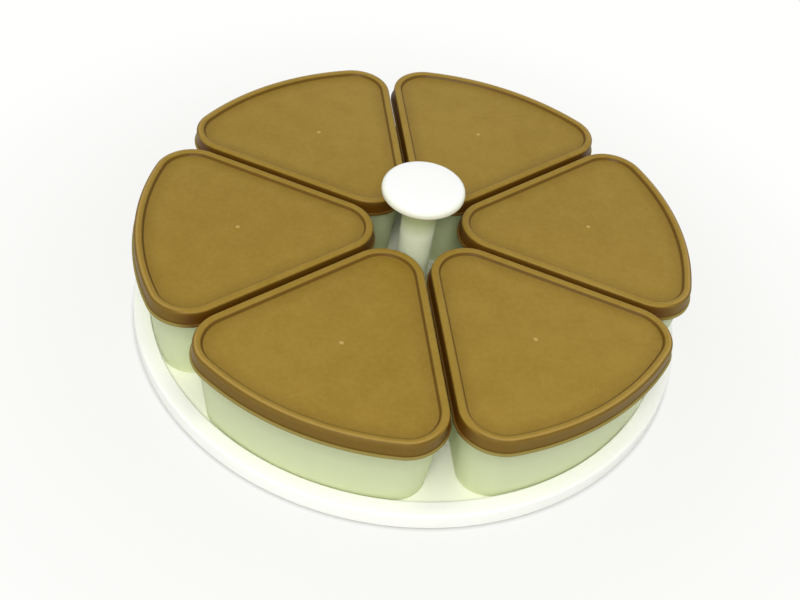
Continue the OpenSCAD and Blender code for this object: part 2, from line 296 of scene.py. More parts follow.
def lathe_seed(corners, at, steps=32):
    """A small round piece standing at a place, as a seed for copies; corners are (radius, height)."""
    work = bmesh.new()
    rings = []
    for radius, height in corners:
        if radius == 0:
            rings.append([work.verts.new(Vector((at[0], at[1], at[2] + height)) * MM)])
            continue
        turns = [math.tau * i / steps for i in range(steps)]
        rings.append([work.verts.new(Vector((at[0] + radius * math.cos(a), at[1] + radius * math.sin(a),
                                             at[2] + height)) * MM) for a in turns])
    for low, high in zip(rings, rings[1:]):
        for i in range(steps):
            j = (i + 1) % steps
            face = [low[i % len(low)], low[j % len(low)], high[j % len(high)], high[i % len(high)]]
            work.faces.new(sorted(set(face), key=face.index))
    bmesh.ops.recalc_face_normals(work, faces=work.faces)
    mesh = bpy.data.meshes.new("seed")
    work.to_mesh(mesh)
    work.free()
    return mesh


def plain_rubber(name):
    """Carbon-black rubber: matt, with dust in its 1.5 mm pores."""
    material, tree, surface = new_material(name)
    place = add(tree, "ShaderNodeTexCoord").outputs["Object"]
    pores = add(tree, "ShaderNodeTexNoise", {"Vector": place, "Scale": 1 / (1.5 * MM), "Detail": 5})
    colour = add(tree, "ShaderNodeMix", {0: pores.outputs["Fac"], 6: linear("#1E1E1D"),
                                         7: linear("#3A3935")}, data_type="RGBA")
    bump = add(tree, "ShaderNodeBump", {"Height": pores.outputs["Fac"], "Strength": 0.3,
                                        "Distance": 0.1 * MM})
    shader = add(tree, "ShaderNodeBsdfPrincipled", {"Base Color": colour.outputs[2], "Roughness": 0.8,
                                                    "Normal": bump.outputs["Normal"], "IOR": 1.52})
    tree.links.new(shader.outputs["BSDF"], surface)
    return material


foot_high = span("rubber_feet")[1]
foot_r, foot_h, foot_edge, foot_count = 6, foot_high.z, 0.3, 6
foot_at = foot_high.y - foot_r
feet_seed = lathe_seed([(0, 0), (foot_r - foot_edge, 0), (foot_r - foot_edge / 3, foot_edge / 3),
                        (foot_r, foot_edge), (foot_r, foot_h), (0, foot_h)], (foot_at, 0, 0))
feet = grow(ring_of, "rubber_foot_pads", feet_seed, {
    "Count": foot_count, "Start": math.radians(30), "Finish": plain_rubber("black_rubber")})
fit(finish_mesh(feet), "base", "foot_rubber", "rubber_feet")


# ---- Pivot bush, ball cage and bearing balls ---------------------------------------------------
# The flanged bush and the cage are natural nylon, cream and slightly waxy; the balls are polished
# carbon steel. The bush is pressed into the base, and the cage keeps the balls apart in the race.


def natural_nylon(name):
    """Unfilled nylon: cream, waxy, with 5 mm clouds where it has yellowed."""
    material, tree, surface = new_material(name)
    place = add(tree, "ShaderNodeTexCoord").outputs["Object"]
    clouds = add(tree, "ShaderNodeTexNoise", {"Vector": place, "Scale": 1 / (5 * MM), "Detail": 3})
    colour = add(tree, "ShaderNodeMix", {0: clouds.outputs["Fac"], 6: linear("#DDD6BC"),
                                         7: linear("#EFEBDA")}, data_type="RGBA")
    sheen = add(tree, "ShaderNodeMapRange", {"Value": clouds.outputs["Fac"], "To Min": 0.35,
                                             "To Max": 0.5})
    shader = add(tree, "ShaderNodeBsdfPrincipled", {"Base Color": colour.outputs[2], "IOR": 1.53,
                                                    "Roughness": sheen.outputs["Result"]})
    tree.links.new(shader.outputs["BSDF"], surface)
    return material


def plated_steel(name, code, rough):
    """Zinc-plated or polished steel, with fine turning marks that only change its gloss."""
    material, tree, surface = new_material(name)
    place = add(tree, "ShaderNodeTexCoord").outputs["Object"]
    marks = add(tree, "ShaderNodeTexNoise", {"Vector": place, "Scale": 1 / (0.8 * MM), "Detail": 3})
    spots = add(tree, "ShaderNodeTexNoise", {"Vector": place, "Scale": 1 / (4 * MM), "Detail": 2})
    colour = add(tree, "ShaderNodeMix", {0: spots.outputs["Fac"], 6: linear(code),
                                         7: linear("#D9DADB")}, data_type="RGBA")
    gloss = add(tree, "ShaderNodeMapRange", {"Value": marks.outputs["Fac"], "To Min": rough,
                                             "To Max": rough + 0.15})
    shader = add(tree, "ShaderNodeBsdfPrincipled", {"Base Color": colour.outputs[2], "Metallic": 1,
                                                    "Roughness": gloss.outputs["Result"]})
    tree.links.new(shader.outputs["BSDF"], surface)
    return material


nylon = natural_nylon("natural_nylon_waxy")
bright_steel = plated_steel("zinc_plated_steel", "#B9BBBE", 0.2)

bush_bore, bush_r, flange_r = 2.55, 4.5, 8
bush = turned_piece("pivot_bush_sleeve", [
    (bush_bore, bush_low.z, 0.1), (bush_r, bush_low.z, 0.3), (bush_r, hub_top, 0), (flange_r, hub_top, 0.1),
    (flange_r, bush_high.z, 0.2), (bush_bore, bush_high.z, 0.2)], nylon, steps=64)
fit(bush, "base", "nylon", "pivot_bush")

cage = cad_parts["ball_cage"]
cage.data.materials.clear()
cage.data.materials.append(nylon)

ball_low, ball_high = span("bearing_balls")
ball_r = (ball_high.z - ball_low.z) / 2
ball_arcs, ball_count = 10, 18
bearings = [math.pi * i / ball_arcs for i in range(1, ball_arcs)]
ball_section = [(ball_r * math.sin(a), -ball_r * math.cos(a)) for a in bearings]
ball_seed = lathe_seed([(0, -ball_r)] + ball_section + [(0, ball_r)],
                       (race_r, 0, ball_low.z + ball_r), steps=20)
balls = grow(ring_of, "steel_balls", ball_seed, {"Count": ball_count, "Start": 0.0,
                                                 "Finish": bright_steel})
fit(finish_mesh(balls), "bearing", "bearing_steel", "bearing_balls")


# ---- Tray ------------------------------------------------------------------------------------
# The round white tray, moulded in one piece of polystyrene: flat floor, hollow raised rim with a
# skirt that hides the base and widens a little downwards, the upper ball race and twelve ribs.

tray_r, rim_z, skirt_z = tray_high.x, tray_high.z, tray_low.z
post_low, post_high = span("handle_post")
tray_t, race_gap, rim_w = 2.2, 2.1, 9
floor_top = post_low.z
floor_low = floor_top - tray_t
race_z = base_top + race_gap
rim_in = tray_r - rim_w
skirt_t, skirt_draft, rim_crown = 1.8, 0.4, 0.15
hole_r, track_half = 2.65, 3.3
tray_skin = turned_piece("tray_moulding", [
    (hole_r, floor_low, 0.2), (race_r - track_half, floor_low, 0.3), (race_r - track_half, race_z, 0.3),
    (race_r - groove_edge, race_z, 0.1), (race_r - groove_half, race_z + groove_depth, 0.2),
    (race_r + groove_half, race_z + groove_depth, 0.2), (race_r + groove_edge, race_z, 0.1),
    (race_r + track_half, race_z, 0.3), (race_r + track_half, floor_low, 0.3),
    (rim_in + skirt_t, floor_low, 0.6), (rim_in + skirt_t, rim_z - skirt_t, 0.6),
    (tray_r - skirt_t, rim_z - skirt_t, 0.8), (tray_r - skirt_t + skirt_draft, skirt_z, 0.3),
    (tray_r + skirt_draft, skirt_z, 0.4), (tray_r, rim_z - rim_crown, 1.5),
    ((tray_r + rim_in) / 2, rim_z, 18), (rim_in, rim_z - rim_crown, 0.9),
    (rim_in - 0.3, floor_top, 0.6), (hole_r, floor_top, 0)],
    polystyrene, steps=320)

# The ribs run from the race to the skirt and reach 0.1 mm into what they join
rib_t, rib_taper, rib_bite, rib_count = 1.6, 0.3, 0.1, 12
rib_in, rib_out = race_r + track_half - rib_bite, rim_in + skirt_t
rib_work = bmesh.new()
rib_ends = [[rib_work.verts.new(Vector((x, y, z)) * MM) for y, z in (
    (-rib_t / 2, floor_low + rib_bite), (-rib_t / 2 + rib_taper, race_z),
    (rib_t / 2 - rib_taper, race_z), (rib_t / 2, floor_low + rib_bite))] for x in (rib_in, rib_out)]
for i in range(4):
    j = (i + 1) % 4
    rib_work.faces.new([rib_ends[0][i], rib_ends[0][j], rib_ends[1][j], rib_ends[1][i]])
for end in rib_ends:
    rib_work.faces.new(end)
bmesh.ops.recalc_face_normals(rib_work, faces=rib_work.faces)
rib_seed = bpy.data.meshes.new("seed")
rib_work.to_mesh(rib_seed)
rib_work.free()
ribs = grow(ring_of, "tray_ribs", rib_seed, {"Count": rib_count, "Start": math.radians(15),
                                             "Finish": polystyrene})
fit(tray_skin, "turntable", "white_plastic", "tray")
fit(finish_mesh(ribs), "turntable", "white_plastic")


# ---- Pivot washer and screw --------------------------------------------------------------------
# A plain zinc-plated washer and a pan-head screw with a cross slot, both under the hub.
# The screw comes up through bush and tray and holds the post down on the tray.

for node in ("pivot_washer", "pivot_screw"):
    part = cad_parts[node]
    part.data.materials.clear()
    part.data.materials.append(bright_steel)


# ---- Handle post -----------------------------------------------------------------------------
# A hollow post of the same white polystyrene, a little wider at its top than above its foot.
# Its foot sits flat on the tray, and the pivot screw threads into its base from below.

post_foot_r, post_base_r, post_top_r = post_high.x, 9.25, 9.85


def shade_painted_polystyrene(name):
    """The same polystyrene with painted light: a yellow-green tint of light bounced through the tubs, and
    the knob's painted shadow under the knob.
    """
    material, tree, surface = new_material(name)
    place = add(tree, "ShaderNodeTexCoord").outputs["Object"]
    # The knob's painted shadow fades out 25 mm below the post's top and is a little cloudy
    clouds = add(tree, "ShaderNodeTexNoise", {"Vector": place, "Scale": 1 / (8 * MM), "Detail": 3})
    height = add(tree, "ShaderNodeSeparateXYZ", {"Vector": place}).outputs["Z"]
    painted_shadow = add(tree, "ShaderNodeMapRange", {"Value": height, "From Min": (post_high.z - 25) * MM,
                                              "From Max": (post_high.z - 15) * MM, "To Max": 0.72})
    painted_shadow = add(tree, "ShaderNodeMath", {0: clouds.outputs["Fac"], 1: 0.04, 2: painted_shadow.outputs["Result"]},
                 operation="MULTIPLY_ADD")
    colour = add(tree, "ShaderNodeMix", {0: painted_shadow.outputs["Value"], 6: linear("#FAFFDC"),
                                         7: linear("#A4B374")}, data_type="RGBA")
    shader = add(tree, "ShaderNodeBsdfPrincipled", {"Base Color": colour.outputs[2], "Roughness": 0.36,
                                                    "IOR": 1.59})
    tree.links.new(shader.outputs["BSDF"], surface)
    return material


# The post's finish is painted light: its yellow-green tint and the knob's shadow
yellowed = shade_painted_polystyrene("white_polystyrene_shade_painted")
post_foot_t, post_bore_r, post_solid_h = 2, 7, 18
post = turned_piece("handle_post_moulding", [
    (0, post_low.z, 0), (post_foot_r, post_low.z, 0.2), (post_foot_r, post_low.z + post_foot_t, 0.8),
    (post_base_r, post_low.z + post_foot_t, 3), (post_top_r, post_high.z, 0.2),
    (post_bore_r, post_high.z, 0.2), (post_bore_r, post_low.z + post_solid_h, 0.5),
    (0, post_low.z + post_solid_h, 0)], yellowed, closed=False, steps=96)
fit(post, "turntable", "white_plastic", "handle_post")


# ---- Handle knob -----------------------------------------------------------------------------
# A thick, slightly crowned disc with rounded edges; a spigot under it is pressed into the post.
# It is polished by hands, so it is glossier than the tray.

# Its outermost 2.5 mm carries a painted yellow-green tint of light coming through its edge
knob_finish = moulded_white("white_polystyrene_polished", "#FEFEFD", "#FDFDFB", 0.24,
                            ("#F4F8E8", 2.5, 0.5))
knob_low, knob_high = span("handle_knob")
knob_r, knob_t, knob_crown = knob_high.x, 6, 0.5
knob_under = knob_high.z - knob_t
spigot_r, spigot_t = 7, 2
knob = turned_piece("handle_knob_disc", [
    (0, knob_under, 0), (spigot_r - spigot_t, knob_under, 0.3), (spigot_r - spigot_t, knob_low.z, 0.3),
    (spigot_r, knob_low.z, 0.5), (spigot_r, knob_under, 0), (post_top_r + 1.2, knob_under, 0),
    (knob_r, knob_under + 0.2, 1.8), (knob_r, knob_high.z - knob_crown, 3.2),
    (knob_r * 0.6, knob_high.z - knob_crown * 0.25, 40), (0, knob_high.z, 0)],
    knob_finish, closed=False, steps=160)
fit(knob, "turntable", "white_plastic", "handle_knob")


# ---- Containers ------------------------------------------------------------------------------
# Six wedge-shaped tubs, injection-moulded with thin walls in uncoloured polyethylene: milky, waxy
# and translucent, with leaning walls, a rounded base edge and a plain rim for the press-on lid.

lid_low, lid_high = span("lid_1")
tub_low, tub_high = span("container_1")
lip_out = 1.6
knob_gap = 0.8
lid_reach = lid_high.x - lip_out
half_wedge = math.radians(30)
side_gap = 2.0
corner_r = 21.7
front_shift = 7.3
front_r = lid_reach - front_shift
well_r = knob_r + knob_gap + lip_out
nose_r = (well_r * math.sin(half_wedge) - side_gap) / (1 - math.sin(half_wedge))
nose_x = (nose_r + side_gap) / math.sin(half_wedge)


def corner_place():
    """Centre of an outer corner, which touches both the straight side and the front curve."""
    off = (side_gap + corner_r) * Vector((math.sin(half_wedge), -math.cos(half_wedge)))
    along = Vector((math.cos(half_wedge), math.sin(half_wedge)))
    start = off - Vector((front_shift, 0))
    b, c = along.dot(start), start.dot(start) - (front_r - corner_r) ** 2
    return off + along * (math.sqrt(b * b - c) - b)


def wedge_tree():
    """A section carried round the outline of a wedge, made of four arcs, then turned to its place."""
    tree, given = size_tree("wedge_piece", {
        "Front radius": "NodeSocketFloat", "Front shift": "NodeSocketVector",
        "Front half angle": "NodeSocketFloat", "Corner radius": "NodeSocketFloat",
        "Corner place": "NodeSocketVector", "Corner sweep": "NodeSocketFloat",
        "Nose radius": "NodeSocketFloat", "Nose place": "NodeSocketVector",
        "Half wedge": "NodeSocketFloat", "Turn": "NodeSocketFloat"})
    front_sweep = add(tree, "ShaderNodeMath", {0: given["Front half angle"], 1: 2.0},
                      operation="MULTIPLY")
    front_from = add(tree, "ShaderNodeMath", {0: given["Front half angle"], 1: -1.0},
                     operation="MULTIPLY")
    front = add(tree, "GeometryNodeCurveArc", {
        "Radius": given["Front radius"], "Start Angle": front_from.outputs["Value"],
        "Sweep Angle": front_sweep.outputs["Value"], "Resolution": 41}, mode="RADIUS")
    front_at = add(tree, "GeometryNodeTransform", {"Geometry": front.outputs["Curve"],
                                                   "Translation": given["Front shift"]})
    corner = add(tree, "GeometryNodeCurveArc", {
        "Radius": given["Corner radius"], "Start Angle": given["Front half angle"],
        "Sweep Angle": given["Corner sweep"], "Resolution": 31}, mode="RADIUS")
    left = add(tree, "GeometryNodeTransform", {"Geometry": corner.outputs["Curve"],
                                               "Translation": given["Corner place"]})
    right = add(tree, "GeometryNodeTransform", {"Geometry": left.outputs["Geometry"],
                                                "Scale": (1, -1, 1)})
    nose_from = add(tree, "ShaderNodeMath", {0: given["Half wedge"], 1: math.pi / 2}, operation="ADD")
    nose_sweep = add(tree, "ShaderNodeMath", {0: given["Half wedge"], 1: -2.0, 2: math.pi},
                     operation="MULTIPLY_ADD")
    nose = add(tree, "GeometryNodeCurveArc", {
        "Radius": given["Nose radius"], "Start Angle": nose_from.outputs["Value"],
        "Sweep Angle": nose_sweep.outputs["Value"], "Resolution": 37}, mode="RADIUS")
    nose_at = add(tree, "GeometryNodeTransform", {"Geometry": nose.outputs["Curve"],
                                                  "Translation": given["Nose place"]})
    arcs = add(tree, "GeometryNodeJoinGeometry")
    for part in (front_at, left, right, nose_at):
        tree.links.new(part.outputs["Geometry"], arcs.inputs["Geometry"])
    points = add(tree, "GeometryNodeCurveToPoints", {"Curve": arcs.outputs["Geometry"]},
                 mode="EVALUATED")
    single = add(tree, "GeometryNodeMergeByDistance", {"Geometry": points.outputs["Points"],
                                                       "Distance": 0.01 * MM})
    # The outline is convex, so its points follow each other by their bearing from the nose's centre
    position = add(tree, "GeometryNodeInputPosition").outputs["Position"]
    place = add(tree, "ShaderNodeVectorMath", {0: position, 1: given["Nose place"]},
                operation="SUBTRACT")
    parts = add(tree, "ShaderNodeSeparateXYZ", {"Vector": place.outputs["Vector"]})
    bearing = add(tree, "ShaderNodeMath", {0: parts.outputs["Y"], 1: parts.outputs["X"]},
                  operation="ARCTAN2")
    outline = add(tree, "GeometryNodePointsToCurves", {"Points": single.outputs["Geometry"],
                                                       "Weight": bearing.outputs["Value"]})
    loop = add(tree, "GeometryNodeSetSplineCyclic", {"Geometry": outline.outputs["Curves"], "Cyclic": True})
    skin = swept_section(tree, given["Geometry"], loop.outputs["Geometry"])
    spin = add(tree, "FunctionNodeAxisAngleToRotation", {"Axis": (0, 0, 1), "Angle": given["Turn"]})
    placed = add(tree, "GeometryNodeTransform", {"Geometry": skin.outputs["Mesh"],
                                                 "Rotation": spin.outputs["Rotation"]})
    return end_tree(tree, given, placed.outputs["Geometry"])


corner_at = corner_place()
front_half = math.atan2(corner_at.y, corner_at.x - front_shift)
wedge = wedge_tree()
wedge_sizes = {
    "Front radius": front_r * MM, "Front shift": (front_shift * MM, 0, 0), "Front half angle": front_half,
    "Corner radius": corner_r * MM, "Corner place": (corner_at.x * MM, corner_at.y * MM, 0),
    "Corner sweep": math.pi / 2 + half_wedge - front_half, "Nose radius": nose_r * MM,
    "Nose place": (nose_x * MM, 0, 0), "Half wedge": half_wedge}


def wedge_piece(name, number, corners, finish):
    """One container or lid: its section is (inset from the lid's outline, height, rounding) corners."""
    seed = section_mesh(rounded(corners))
    sizes = dict(wedge_sizes, Turn=(number - 1) * math.radians(60), Finish=finish)
    return finish_mesh(grow(wedge, name, seed, sizes), sharp=50)


def natural_polyethylene(name):
    """Uncoloured polyethylene, 1.5 mm thick: light comes through it milky, and its skin is waxy."""
    material, tree, surface = new_material(name)
    place = add(tree, "ShaderNodeTexCoord").outputs["Object"]
    # Clouds of 12 mm from uneven cooling, and a 1.5 mm orange peel, drawn coarser than the real one;
    # the wall has painted shade, darkest under the lid and lighter towards the base, and a painted glow at
    # its solid corner
    height = add(tree, "ShaderNodeSeparateXYZ", {"Vector": place}).outputs["Z"]
    # clear is the share of painted light: none under the lid, most at the base and its solid corner
    clear = add(tree, "ShaderNodeMapRange", {"Value": height, "From Min": tub_high.z * MM,
                                             "From Max": tub_low.z * MM, "To Max": 0.8})
    corner = add(tree, "ShaderNodeMapRange", {"Value": height, "From Min": (tub_low.z + 5) * MM,
                                              "From Max": (tub_low.z + 2) * MM, "To Max": 0.2})
    clear = add(tree, "ShaderNodeMath", {0: clear.outputs["Result"], 1: corner.outputs["Result"]},
                operation="ADD")
    clouds = add(tree, "ShaderNodeTexNoise", {"Vector": place, "Scale": 1 / (12 * MM), "Detail": 3})
    peel = add(tree, "ShaderNodeTexNoise", {"Vector": place, "Scale": 1 / (1.5 * MM), "Detail": 2})
    painted_shade_tone = add(tree, "ShaderNodeMix", {0: clouds.outputs["Fac"], 6: linear("#CDD4AD"),
                                       7: linear("#D6DDB7")}, data_type="RGBA")
    colour = add(tree, "ShaderNodeMix", {0: clear.outputs["Value"], 6: painted_shade_tone.outputs[2],
                                         7: linear("#F5FDCE")}, data_type="RGBA")
    # The lid's shadow is painted on the 16 mm under its lip
    painted_shadow = add(tree, "ShaderNodeMapRange", {"Value": height, "From Min": (lid_low.z - 16) * MM,
                                              "From Max": lid_low.z * MM, "To Max": 0.45})
    colour = add(tree, "ShaderNodeMix", {0: painted_shadow.outputs["Result"], 6: colour.outputs[2],
                                         7: linear("#ADB48D")}, data_type="RGBA")
    rough = add(tree, "ShaderNodeMapRange", {"Value": clouds.outputs["Fac"], "To Min": 0.34,
                                             "To Max": 0.46})
    bump = add(tree, "ShaderNodeBump", {"Height": peel.outputs["Fac"], "Strength": 0.12,
                                        "Distance": 0.1 * MM})
    skin = add(tree, "ShaderNodeBsdfPrincipled", {
        "Base Color": colour.outputs[2], "Roughness": rough.outputs["Result"],
        "Normal": bump.outputs["Normal"], "IOR": 1.51})
    glow = add(tree, "ShaderNodeBsdfTranslucent", {"Color": linear("#F2F9D8")})
    shader = add(tree, "ShaderNodeMixShader", {0: 0.28, 1: skin.outputs["BSDF"],
                                               2: glow.outputs["BSDF"]})
    tree.links.new(shader.outputs["Shader"], surface)
    return material


polyethylene = natural_polyethylene("natural_polyethylene_milky")
rim_inset, wall_t, wall_lean, floor_t = 1.3, 1.5, 4.5, 1.6
base_inset = rim_inset + wall_lean
# The section ends here on the floor, and finish_mesh closes the flat middle
floor_inset = base_inset + 12
for number in range(1, 7):
    tub = wedge_piece(f"tub_{number}", number, [
        (floor_inset, tub_low.z, 0), (base_inset, tub_low.z, 0.9), (rim_inset, tub_high.z, 0.4),
        (rim_inset + wall_t, tub_high.z, 0.4), (base_inset + wall_t, tub_low.z + floor_t, 2.0),
        (floor_inset, tub_low.z + floor_t, 0)], polyethylene)
    fit(tub, f"container_{number}", "natural_plastic", f"container_{number}")


# ---- Lids ------------------------------------------------------------------------------------
# Six press-on lids in milk-chocolate brown polypropylene: a sunk panel, a rounded rim that grips the
# tub, a skirt and a finger lip. Each panel has the tiny pale scar of its moulding gate.


def brown_polypropylene(name):
    """Fine-textured polypropylene: satin, a little uneven, with a few pale hairlines and specks."""
    material, tree, surface = new_material(name)
    place = add(tree, "ShaderNodeTexCoord").outputs["Object"]
    # Uneven colour: 110 mm wide from lid to lid, 14 mm clouds and a 2.5 mm mottle
    wide = add(tree, "ShaderNodeTexNoise", {"Vector": place, "Scale": 1 / (110 * MM), "Detail": 1})
    clouds = add(tree, "ShaderNodeTexNoise", {"Vector": place, "Scale": 1 / (14 * MM), "Detail": 3})
    mottle = add(tree, "ShaderNodeTexNoise", {"Vector": place, "Scale": 1 / (2.5 * MM), "Detail": 2})
    shade = add(tree, "ShaderNodeMath", {0: wide.outputs["Fac"], 1: clouds.outputs["Fac"]},
                operation="ADD")
    shade = add(tree, "ShaderNodeMath", {0: shade.outputs["Value"], 1: mottle.outputs["Fac"]},
                operation="ADD")
    mixed = add(tree, "ShaderNodeMapRange", {"Value": shade.outputs["Value"], "From Min": 1.15,
                                             "From Max": 1.85})
    plain = add(tree, "ShaderNodeMix", {0: mixed.outputs["Result"], 6: linear("#927529"),
                                        7: linear("#9C7F33")}, data_type="RGBA")
    # Along the section, painted light and shade: a pale lip, a shaded skirt, a highlight on the outer edge
    # and shade in the corner of the recess
    inset = add(tree, "ShaderNodeAttribute", attribute_name="inset").outputs["Fac"]
    ramp_from, ramp_to = -2, 14
    place_on = add(tree, "ShaderNodeMapRange", {"Value": inset, "From Min": ramp_from,
                                                "From Max": ramp_to})
    # Some tones are painted only on the outer curve; in the slots between the lids a deeper painted shade
    # lies on the skirts
    flat = add(tree, "ShaderNodeVectorMath", {0: place, 1: (1, 1, 0)}, operation="MULTIPLY")
    away = add(tree, "ShaderNodeVectorMath", {0: flat.outputs["Vector"]}, operation="LENGTH")
    outer = add(tree, "ShaderNodeMapRange", {"Value": away.outputs["Value"], "From Min": 141 * MM,
                                             "From Max": 149 * MM}).outputs["Result"]
    slot = add(tree, "ShaderNodeMath", {0: 1.0, 1: outer}, operation="SUBTRACT").outputs["Value"]
    # Each tone has its colour, the part of the lid that it keeps to, and stops of (inset, amount)
    colour = plain.outputs[2]
    for code, where_on, stops in (
            # Painted shade over the lip and skirt, darkest in the crease between them
            ("#5C4310", None, ((-0.75, 0.5), (-0.66, 0.5), (-0.61, 0.9), (-0.54, 0.9), (-0.5, 0.72),
                               (-0.25, 0.7), (0.1, 0))),
            # Painted shade on the upper skirt and the lower part of the outer edge's rounding
            ("#5C4310", outer, ((-0.3, 0), (0.1, 0.72), (0.5, 0.7), (0.9, 0.4), (1.2, 0))),
            # Deeper painted shade on the skirts in the slots between the lids
            ("#552D00", slot, ((-0.75, 0.6), (-0.4, 0.85), (-0.1, 0.55), (0.3, 0))),
            # Painted shade in the corner of the recess, fading out over the panel
            ("#503100", None, ((3.7, 0), (4.3, 0.75), (5.0, 0.75), (5.2, 0.22), (7.0, 0.16), (13, 0))),
            # Painted light on the lip, bounced off the pale tubs
            ("#9C9352", outer, ((-0.75, 0.6), (-0.65, 0))),
            # A painted highlight along the rounding of the outer edge
            ("#C09E60", outer, ((0.8, 0), (1.3, 0.4), (1.8, 0.35), (2.5, 0)))):
        tone = add(tree, "ShaderNodeValToRGB", {"Fac": place_on.outputs["Result"]})
        ramp = tone.color_ramp
        while len(ramp.elements) < len(stops):
            ramp.elements.new(0)
        for element, (where, amount) in zip(ramp.elements, stops):
            element.position = (where - ramp_from) / (ramp_to - ramp_from)
            element.color = (amount, amount, amount, 1)
        share = tone.outputs["Color"]
        if where_on:
            part = add(tree, "ShaderNodeMath", {0: share, 1: where_on}, operation="MULTIPLY")
            share = part.outputs["Value"]
        colour = add(tree, "ShaderNodeMix", {0: share, 6: colour, 7: linear(code)},
                     data_type="RGBA").outputs[2]
    # Straight hairlines in two directions: streaks 30 mm long and 0.4 mm wide, few and faint
    marks = 0.0
    for turn in (0.35, 1.45):
        along = add(tree, "ShaderNodeMapping", {
            "Vector": place, "Rotation": (0, 0, turn), "Scale": (30 * MM, 0.4 * MM, 0.4 * MM)},
            vector_type="TEXTURE")
        streaks = add(tree, "ShaderNodeTexNoise", {"Vector": along.outputs["Vector"], "Scale": 1,
                                                   "Detail": 0})
        line = add(tree, "ShaderNodeMapRange", {"Value": streaks.outputs["Fac"], "From Min": 0.82,
                                                "From Max": 0.9, "To Max": 0.15})
        marks = add(tree, "ShaderNodeMath", {0: marks, 1: line.outputs["Result"]},
                    operation="MAXIMUM").outputs["Value"]
    # Pale specks 0.5 mm across, about one in each 22 mm
    dots = add(tree, "ShaderNodeTexVoronoi", {"Vector": place, "Scale": 1 / (22 * MM)})
    speck = add(tree, "ShaderNodeMapRange", {"Value": dots.outputs["Distance"], "From Min": 0.012,
                                             "From Max": 0.025, "To Min": 0.35, "To Max": 0.0})
    marks = add(tree, "ShaderNodeMath", {0: marks, 1: speck.outputs["Result"]}, operation="MAXIMUM")
    painted_light_and_wear = add(tree, "ShaderNodeMix", {0: marks.outputs["Value"], 6: colour,
                                       7: linear("#C9B070")}, data_type="RGBA")
    # The moulded texture is finer than 0.1 mm; it is drawn 0.9 mm coarse so that it shows at all
    grain = add(tree, "ShaderNodeTexNoise", {"Vector": place, "Scale": 1 / (0.9 * MM), "Detail": 2})
    rough = add(tree, "ShaderNodeMapRange", {"Value": grain.outputs["Fac"], "To Min": 0.36,
                                             "To Max": 0.46})
    bump = add(tree, "ShaderNodeBump", {"Height": grain.outputs["Fac"], "Strength": 0.12,
                                        "Distance": 0.1 * MM})
    shader = add(tree, "ShaderNodeBsdfPrincipled", {
        "Base Color": painted_light_and_wear.outputs[2], "Roughness": rough.outputs["Result"],
        "Normal": bump.outputs["Normal"], "IOR": 1.49, "Specular IOR Level": 0.15})
    tree.links.new(shader.outputs["BSDF"], surface)
    return material


def whitened_polypropylene(name):
    """Where the gate was torn off, the polypropylene is stressed pale, unevenly within 0.5 mm."""
    material, tree, surface = new_material(name)
    place = add(tree, "ShaderNodeTexCoord").outputs["Object"]
    torn = add(tree, "ShaderNodeTexNoise", {"Vector": place, "Scale": 1 / (0.5 * MM), "Detail": 2})
    colour = add(tree, "ShaderNodeMix", {0: torn.outputs["Fac"], 6: linear("#A58430"),
                                         7: linear("#C2A760")}, data_type="RGBA")
    shader = add(tree, "ShaderNodeBsdfPrincipled", {"Base Color": colour.outputs[2], "Roughness": 0.5,
                                                    "IOR": 1.49})
    tree.links.new(shader.outputs["BSDF"], surface)
    return material


polypropylene = brown_polypropylene("brown_polypropylene_satin")
gate_finish = whitened_polypropylene("brown_polypropylene_whitened")
panel_t, recess, rim_fall, lip_h = 1.2, 2.1, 0.55, 1.2
lid_fit, seat_gap = 0.3, 0.05
lid_top = lid_high.z
panel_top = lid_top - recess
panel_low = panel_top - panel_t
channel_top = tub_high.z + seat_gap
channel_out, channel_in = rim_inset - lid_fit, rim_inset + wall_t + lid_fit
lip_top = lid_low.z + lip_h
# The section ends here on the panel, and finish_mesh closes the flat middle
panel_inset = 14
gate_r, gate_sink = 100, 0.3
# The scar is a low torn-off stump, 2.4 mm wide, with a dimple in the middle
scar = [(0, 0), (1.2, 0), (1.2, gate_sink), (0.8, gate_sink + 0.12), (0.5, gate_sink + 0.22),
        (0, gate_sink + 0.15)]
for number in range(1, 7):
    lid = wedge_piece(f"lid_shell_{number}", number, [
        (panel_inset, panel_low, 0), (channel_in + lid_fit, panel_low, 0.4),
        (channel_in, channel_top, 0.2), (channel_out, channel_top, 0.3),
        (channel_out - lid_fit, lid_low.z, 0.2), (-lip_out, lid_low.z, 0.25), (-lip_out, lip_top, 0.2),
        (-0.6, lip_top + 0.15, 0.2), (-0.05, lid_top - 0.05, 1.5), (3.2, lid_top - 0.05, 1.5),
        (4.2, lid_top - rim_fall, 0.5), (5.2, panel_top, 0.4),
        (panel_inset, panel_top, 0)], polypropylene)
    fit(lid, f"lid_{number}", "brown_plastic", f"lid_{number}")
    turn = (number - 1) * math.radians(60)
    gate_place = (gate_r * math.cos(turn), gate_r * math.sin(turn), panel_top - gate_sink)
    gate_seed = lathe_seed(scar, gate_place, steps=20)
    gate_seed.materials.append(gate_finish)
    gate = bpy.data.objects.new(f"gate_scar_{number}", gate_seed)
    scene.collection.objects.link(gate)
    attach(finish_mesh(gate), f"lid_{number}")


# ---- Floor, light and camera -------------------------------------------------------------------
# A plain pale floor under soft studio light, seen from above and in front.

floor_material, floor_tree, floor_surface = new_material("pale_floor")
ray = add(floor_tree, "ShaderNodeLightPath").outputs
seen = add(floor_tree, "ShaderNodeMath", {0: ray["Is Camera Ray"], 1: ray["Is Glossy Ray"]},
           operation="MAXIMUM")
seen = add(floor_tree, "ShaderNodeMath", {0: seen.outputs["Value"], 1: ray["Is Transmission Ray"]},
           operation="MAXIMUM")
